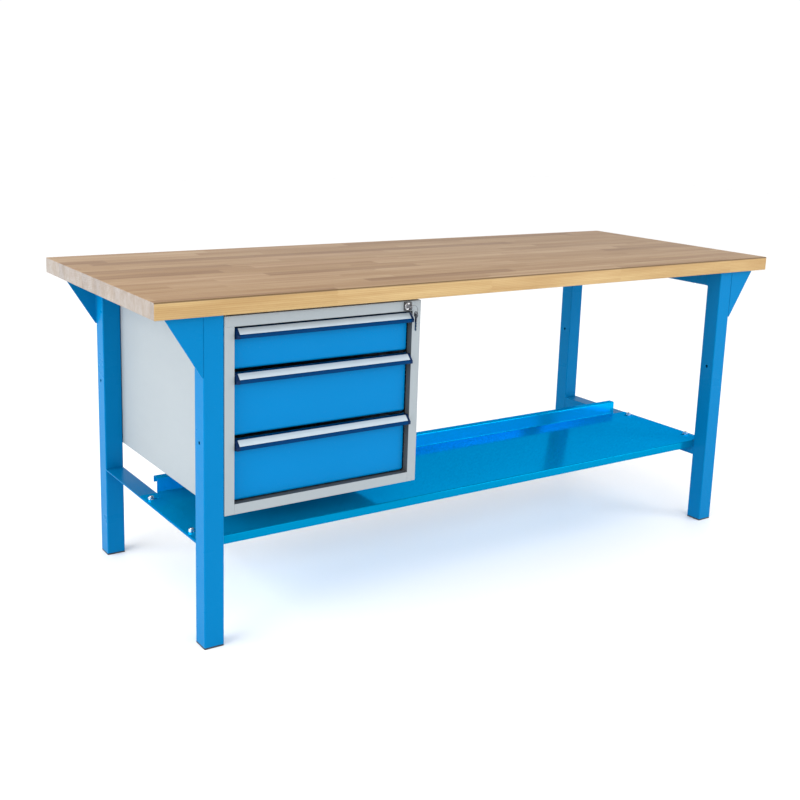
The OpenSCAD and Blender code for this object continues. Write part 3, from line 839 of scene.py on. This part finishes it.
def make_front(row):
    """A drawer front: one sheet with round bends at its sides and bottom and ball-shaped corners."""
    low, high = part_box(f"drawer_front_{row}")
    columns, rows = front_lines(low, high)
    centre_y = low.y + SHEET / 2 + FRONT_BEND
    bm = bmesh.new()

    def shell(radius):
        return [[bm.verts.new((
            x + radius * math.cos(a) * math.sin(b),
            centre_y - radius * math.cos(a) * math.cos(b) + back_b + back_a,
            z - radius * math.sin(a),
        )) for z, a, back_a in rows] for x, b, back_b in columns]

    outside, inside = shell(FRONT_BEND + SHEET / 2), shell(FRONT_BEND - SHEET / 2)
    cells = front_cells(columns, rows)
    for i, j in sorted(cells):
        corners = [(i, j), (i + 1, j), (i + 1, j + 1), (i, j + 1)]
        for skin in (outside, inside):
            bm.faces.new([skin[c][r] for c, r in corners])
        beside = [(i, j - 1), (i + 1, j), (i, j + 1), (i - 1, j)]
        for (c, r), (d, q), neighbour in zip(corners, corners[1:] + corners[:1], beside):
            if neighbour not in cells:
                bm.faces.new((outside[c][r], outside[d][q], inside[d][q], inside[c][r]))
    weld(bm, outside + inside)
    bmesh.ops.delete(bm, geom=[vert for vert in bm.verts if not vert.link_faces], context="VERTS")
    piece(f"drawer_panel_{row}", bm, MATERIALS["front_blue"], f"drawer_{row}",
          [f"drawer_front_{row}"], sharp=30)


CAP_W = 7.0 * MM
HANDLE_SLOPE = 15 * MM
HANDLE_WALL = 1.6 * MM
HANDLE_FOOT = 12 * MM
STRIP_T = 1.1 * MM
STRIP_INSET = 0.8 * MM
STRIP_SINK = 0.4 * MM
STRIP_CROWN = 0.25 * MM


def make_handle(row):
    """A full-width grip: a painted rail, a pale strip held in its slope and two moulded end caps."""
    low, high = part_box(f"drawer_handle_{row}")
    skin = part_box(f"drawer_front_{row}")[0].y
    make_handle_rail(row, low, high, skin)
    make_handle_strip(row, low, high)
    make_handle_caps(row, low, high, skin)


def make_handle_rail(row, low, high, skin):
    """A folded rail that slopes down to a lip."""
    lip, top, wall = low.y, high.z, HANDLE_WALL
    knee = lip + HANDLE_SLOPE
    rail = rounded([
        (skin, top),
        (knee, top),
        (lip, top - HANDLE_SLOPE),
        (lip, low.z),
        (lip + wall, low.z),
        (lip + wall, top - HANDLE_SLOPE - 0.3 * MM),
        (knee + wall * 0.5, top - wall),
        (skin - wall, top - wall),
        (skin - wall, top - HANDLE_FOOT),
        (skin, top - HANDLE_FOOT),
    ], [0, 2.0 * MM, 1.6 * MM, 0.6 * MM, 0.6 * MM, 0.8 * MM, 0.8 * MM, 0.6 * MM, 0.6 * MM, 0])
    bm = bmesh.new()
    prism(bm, [rail], "x", low.x + CAP_W * 0.6, high.x - CAP_W * 0.6)
    piece(f"handle_rail_{row}", bm, HANDLE_PAINT_AND_SHADE, f"drawer_{row}",
          [f"drawer_handle_{row}"], sharp=32)


def make_handle_strip(row, low, high):
    """A slightly crowned strip that stands proud of the slope by its own thickness."""
    normal = Vector((-1, 1)).normalized()
    down = Vector((-1, -1)).normalized()
    start = Vector((low.y + HANDLE_SLOPE, high.z)) + down * STRIP_INSET
    length = HANDLE_SLOPE * math.sqrt(2) * 0.80
    strip = rounded([
        start - normal * STRIP_SINK,
        start + normal * STRIP_T,
        start + normal * (STRIP_T + STRIP_CROWN) + down * length * 0.5,
        start + normal * STRIP_T + down * length,
        start - normal * STRIP_SINK + down * length,
    ], [0, 0.5 * MM, 9 * MM, 0.5 * MM, 0], 3)
    bm = bmesh.new()
    prism(bm, [strip], "x", low.x + CAP_W, high.x - CAP_W)
    piece(f"handle_strip_{row}", bm, MATERIALS["handle_aluminium"], f"drawer_{row}",
          sharp=35)


def make_handle_caps(row, low, high, skin):
    """A solid cap over each end of the rail, a little larger than its section."""
    lip, top = low.y, high.z
    cap = rounded([
        (skin, top + 0.3 * MM),
        (lip + HANDLE_SLOPE - 0.2 * MM, top + 0.3 * MM),
        (lip - 0.5 * MM, top - HANDLE_SLOPE + 0.2 * MM),
        (lip - 0.5 * MM, low.z - 0.4 * MM),
        (lip + 5 * MM, low.z - 0.4 * MM),
        (skin, low.z - 6.0 * MM),
    ], [0, 2.4 * MM, 2.0 * MM, 1.2 * MM, 2.0 * MM, 0])
    bm = bmesh.new()
    for near, far in ((low.x, low.x + CAP_W), (high.x - CAP_W, high.x)):
        prism(bm, [cap], "x", near, far)
    made = piece(f"handle_caps_{row}", bm, CAP_PLASTIC, f"drawer_{row}", sharp=35)
    soften(made, 0.5 * MM, 50)


SCREW_R = 3.2 * MM
SCREW_H = 1.1 * MM
SCREW_END = 42 * MM
SLIDE_GAUGE = 1.2 * MM
SOCKET_R = 0.9 * MM


def make_slide_screws(row):
    """Low pan heads that hold the drawer members of the slides to the drawer box."""
    bm = bmesh.new()
    for side, outward in (("left", -1), ("right", 1)):
        low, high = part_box(f"slide_drawer_{side}_{row}")
        web = high.x - SLIDE_GAUGE if side == "left" else low.x + SLIDE_GAUGE
        rise = outward * SCREW_H
        dome = [
            (SOCKET_R, 0.0),
            (SCREW_R, 0.0),
            (SCREW_R, rise * 0.35),
            (SCREW_R * 0.86, rise * 0.8),
            (SCREW_R * 0.55, rise),
            (SOCKET_R, rise),
            (SOCKET_R, rise * 0.3),
            (0.0, rise * 0.3),
            (0.0, 0.0),
        ]
        for y in (low.y + SCREW_END, (low.y + high.y) / 2, high.y - SCREW_END):
            lathe(bm, dome, (web, y, (low.z + high.z) / 2), "x", 24)
    piece(f"slide_screws_{row}", bm, MATERIALS["zinc"], f"drawer_{row}", sharp=40)


# ---------------------------------------------------------------- lock and keys

LOCK_BORE_R = 6.05 * MM
LOCK_BODY_R = 9 * MM
BEZEL_T = 3.0 * MM
RIM_W = 3.0 * MM
RIM_H = 0.7 * MM


def make_lock():
    """A dark square bezel, with a bright rim and body round the core."""
    low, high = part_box("lock_housing")
    axis_x = (low.x + high.x) / 2
    axis_z = (low.z + high.z) / 2
    back_y = low.y + BEZEL_T
    corners = [(low.x, low.z), (high.x, low.z), (high.x, high.z), (low.x, high.z)]
    hole = circle((axis_x, axis_z), LOCK_BORE_R, 40)
    bm = bmesh.new()
    prism(bm, [rounded(corners, 2.2 * MM), hole[::-1]], "y", low.y, back_y)
    made = piece("lock_bezel", bm, BEZEL_PLASTIC, "root")
    soften(made, 0.7 * MM, 50)

    bore, rim_r, depth = LOCK_BORE_R, LOCK_BORE_R + RIM_W, high.y - back_y
    rim = [(bore, -RIM_H), (rim_r - 0.4 * MM, -RIM_H), (rim_r, 0.2 * MM), (bore, 0.2 * MM)]
    rim = rounded(rim, [0.3 * MM, 0.5 * MM, 0.1 * MM, 0.1 * MM], 3)
    barrel = [(bore, 0), (LOCK_BODY_R, 0), (LOCK_BODY_R, depth), (bore, depth)]
    barrel = rounded(barrel, [0, 0, 0.8 * MM, 0.4 * MM], 3)
    bm = bmesh.new()
    lathe(bm, rim, (axis_x, low.y, axis_z), "y", 40)
    lathe(bm, barrel, (axis_x, back_y, axis_z), "y", 36)
    piece("lock_body", bm, MATERIALS["lock_chrome"], "root", ["lock_housing"])
    ease("lock_barrel", 0.35 * MM)


BOW_R = 8 * MM
BOW_HOLE = 3.2 * MM
BLADE_H = 3.5 * MM
CUT_PITCH = 2.6 * MM
CUT_W = 0.8 * MM
CUT_DEPTHS = (1.1, 2.0, 0.7, 1.6, 2.2, 0.9, 1.5)


def key_outline(length):
    """A round bow, a shoulder and a blade with cuts, along the first axis from the bow's end."""
    neck = 2 * BOW_R
    shoulder = neck - 0.6 * MM
    angles = [math.radians(-150 + 300 * k / 28) for k in range(29)]
    outline = [(BOW_R - BOW_R * math.cos(a), BOW_R * math.sin(a)) for a in angles]
    outline += [(shoulder, BOW_R * 0.42), (neck + 2 * MM, BLADE_H)]
    for k, depth in enumerate(CUT_DEPTHS):
        start = neck + 7 * MM + k * CUT_PITCH
        floor = BLADE_H - depth * MM
        outline += [(start, BLADE_H), (start + CUT_W, floor), (start + 2 * CUT_W, floor)]
    outline += [
        (length - 2.5 * MM, BLADE_H * 0.8),
        (length, 0.4 * MM),
        (length, -0.8 * MM),
        (length - 2.5 * MM, -BLADE_H),
        (shoulder, -BOW_R * 0.42),
        (shoulder, -BLADE_H),
    ]
    return outline


def make_key(name, node, body, down):
    """A flat key, which points inwards from the lock or hangs down."""
    low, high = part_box(node)
    middle = (low + high) / 2
    length = (high.z - low.z) if down else (high.y - low.y)

    def stood(points):
        if down:
            return [(middle.y - v, high.z - u) for u, v in points]
        return [(low.y + u, middle.z + v) for u, v in points]

    hole = circle((4 * MM, 0), BOW_HOLE, 24)
    bm = bmesh.new()
    prism(bm, [stood(key_outline(length)), stood(hole)[::-1]], "x", low.x, high.x)
    made = piece(name, bm, MATERIALS["key_nickel"], body, [node], sharp=30)
    soften(made, 0.25 * MM, 60)


RING_WIRE_R = 0.42 * MM
RING_TURNS = 2
RING_START = 100


def make_ring():
    """A split ring: the wire runs round twice, side by side."""
    low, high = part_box("key_ring")
    radius = (high.x - low.x) / 2 - RING_WIRE_R
    steps = 80 * RING_TURNS
    sides = 8
    bm = bmesh.new()
    rings = []
    for k in range(steps + 1):
        angle = math.radians(RING_START) + math.tau * RING_TURNS * k / steps
        offset = (k / steps - 0.5) * 2 * RING_WIRE_R * 1.05
        outward = Vector((math.cos(angle), 0, math.sin(angle)))
        point = (low + high) / 2 + outward * radius + Vector((0, offset, 0))
        rings.append([
            bm.verts.new(point + (outward * math.cos(b) + Vector((0, math.sin(b), 0))) * RING_WIRE_R)
            for b in (math.tau * s / sides for s in range(sides))])
    tube(bm, rings)
    piece("split_ring", bm, MATERIALS["key_nickel"], "spare_keys", ["key_ring"])


# ---------------------------------------------------------------- studio

FLOOR_HALF = 14.0


def make_floor():
    """A pale floor just under the feet."""
    bm = bmesh.new()
    bmesh.ops.create_grid(bm, x_segments=8, y_segments=8, size=FLOOR_HALF)
    mesh = bpy.data.meshes.new("floor")
    bm.to_mesh(mesh)
    bm.free()
    mesh.materials.append(studio_floor())
    floor = bpy.data.objects.new("floor", mesh)
    floor.location.z = CAD_BOX[0].z - 0.2 * MM
    bpy.context.scene.collection.objects.link(floor)


def aim(made, target):
    """Turns a lamp to face a point."""
    made.rotation_euler = (Vector(target) - made.location).to_track_quat("-Z", "Y").to_euler()


def soft_light(name, place, target, size, power):
    """A large rectangular lamp."""
    lamp = bpy.data.lights.new(name, "AREA")
    lamp.shape = "RECTANGLE"
    lamp.size, lamp.size_y = size
    lamp.energy = power
    made = bpy.data.objects.new(name, lamp)
    made.location = place
    bpy.context.scene.collection.objects.link(made)
    aim(made, target)


def make_lights():
    """A white surround, and three soft boxes at the left, the front and the right."""
    world = bpy.data.worlds.new("studio")
    world.use_nodes = True
    background = world.node_tree.nodes["Background"]
    background.inputs["Color"].default_value = shade(WHITE)
    background.inputs["Strength"].default_value = 1.04
    bpy.context.scene.world = world
    soft_light("left_box", (-4.6, 0.1, 1.8), (-0.8, 0.1, 0.5), (4.8, 3.0), 200)
    soft_light("front_box", (-0.2, -4.6, 2.1), (0, 0, 0.5), (4.6, 2.8), 88)
    soft_light("right_box", (2.7, -2.9, 1.5), (0.9, -0.3, 0.5), (1.6, 1.8), 44)


CAMERA_PLACE = (-1.8825, -2.5868, 1.2665)
CAMERA_YAW = -34.418
CAMERA_PITCH = -11.889
CAMERA_ROLL = -1.862
CAMERA_LENS = 50.35
CAMERA_SHIFT = -0.075


def make_camera():
    """A level camera is turned, tipped and rolled, and shifted only enough to frame the bench."""
    data = bpy.data.cameras.new("camera")
    data.sensor_width = 36.0
    data.lens = CAMERA_LENS
    data.shift_y = CAMERA_SHIFT
    made = bpy.data.objects.new("camera", data)
    turn = (
        Matrix.Rotation(math.radians(CAMERA_YAW), 4, "Z")
        @ Matrix.Rotation(math.radians(CAMERA_PITCH), 4, "X")
        @ Matrix.Rotation(math.radians(CAMERA_ROLL), 4, "Y")
        @ Matrix.Rotation(math.radians(90), 4, "X")
    )
    made.matrix_world = Matrix.Translation(CAMERA_PLACE) @ turn
    bpy.context.scene.collection.objects.link(made)
    bpy.context.scene.camera = made


make_camera()
make_lights()
make_floor()
paint_cad_nodes()
ease_cad_nodes()
make_worktop()
make_welds()
make_shelf()
for drawer in ROWS:
    make_front(drawer)
    make_handle(drawer)
    make_slide_screws(drawer)
make_lock()
make_key("lock_key", "key", "lock_core", down=False)
make_key("hanging_key", "spare_key", "spare_keys", down=True)
make_ring()
bpy.context.scene.view_settings.view_transform = "Standard"
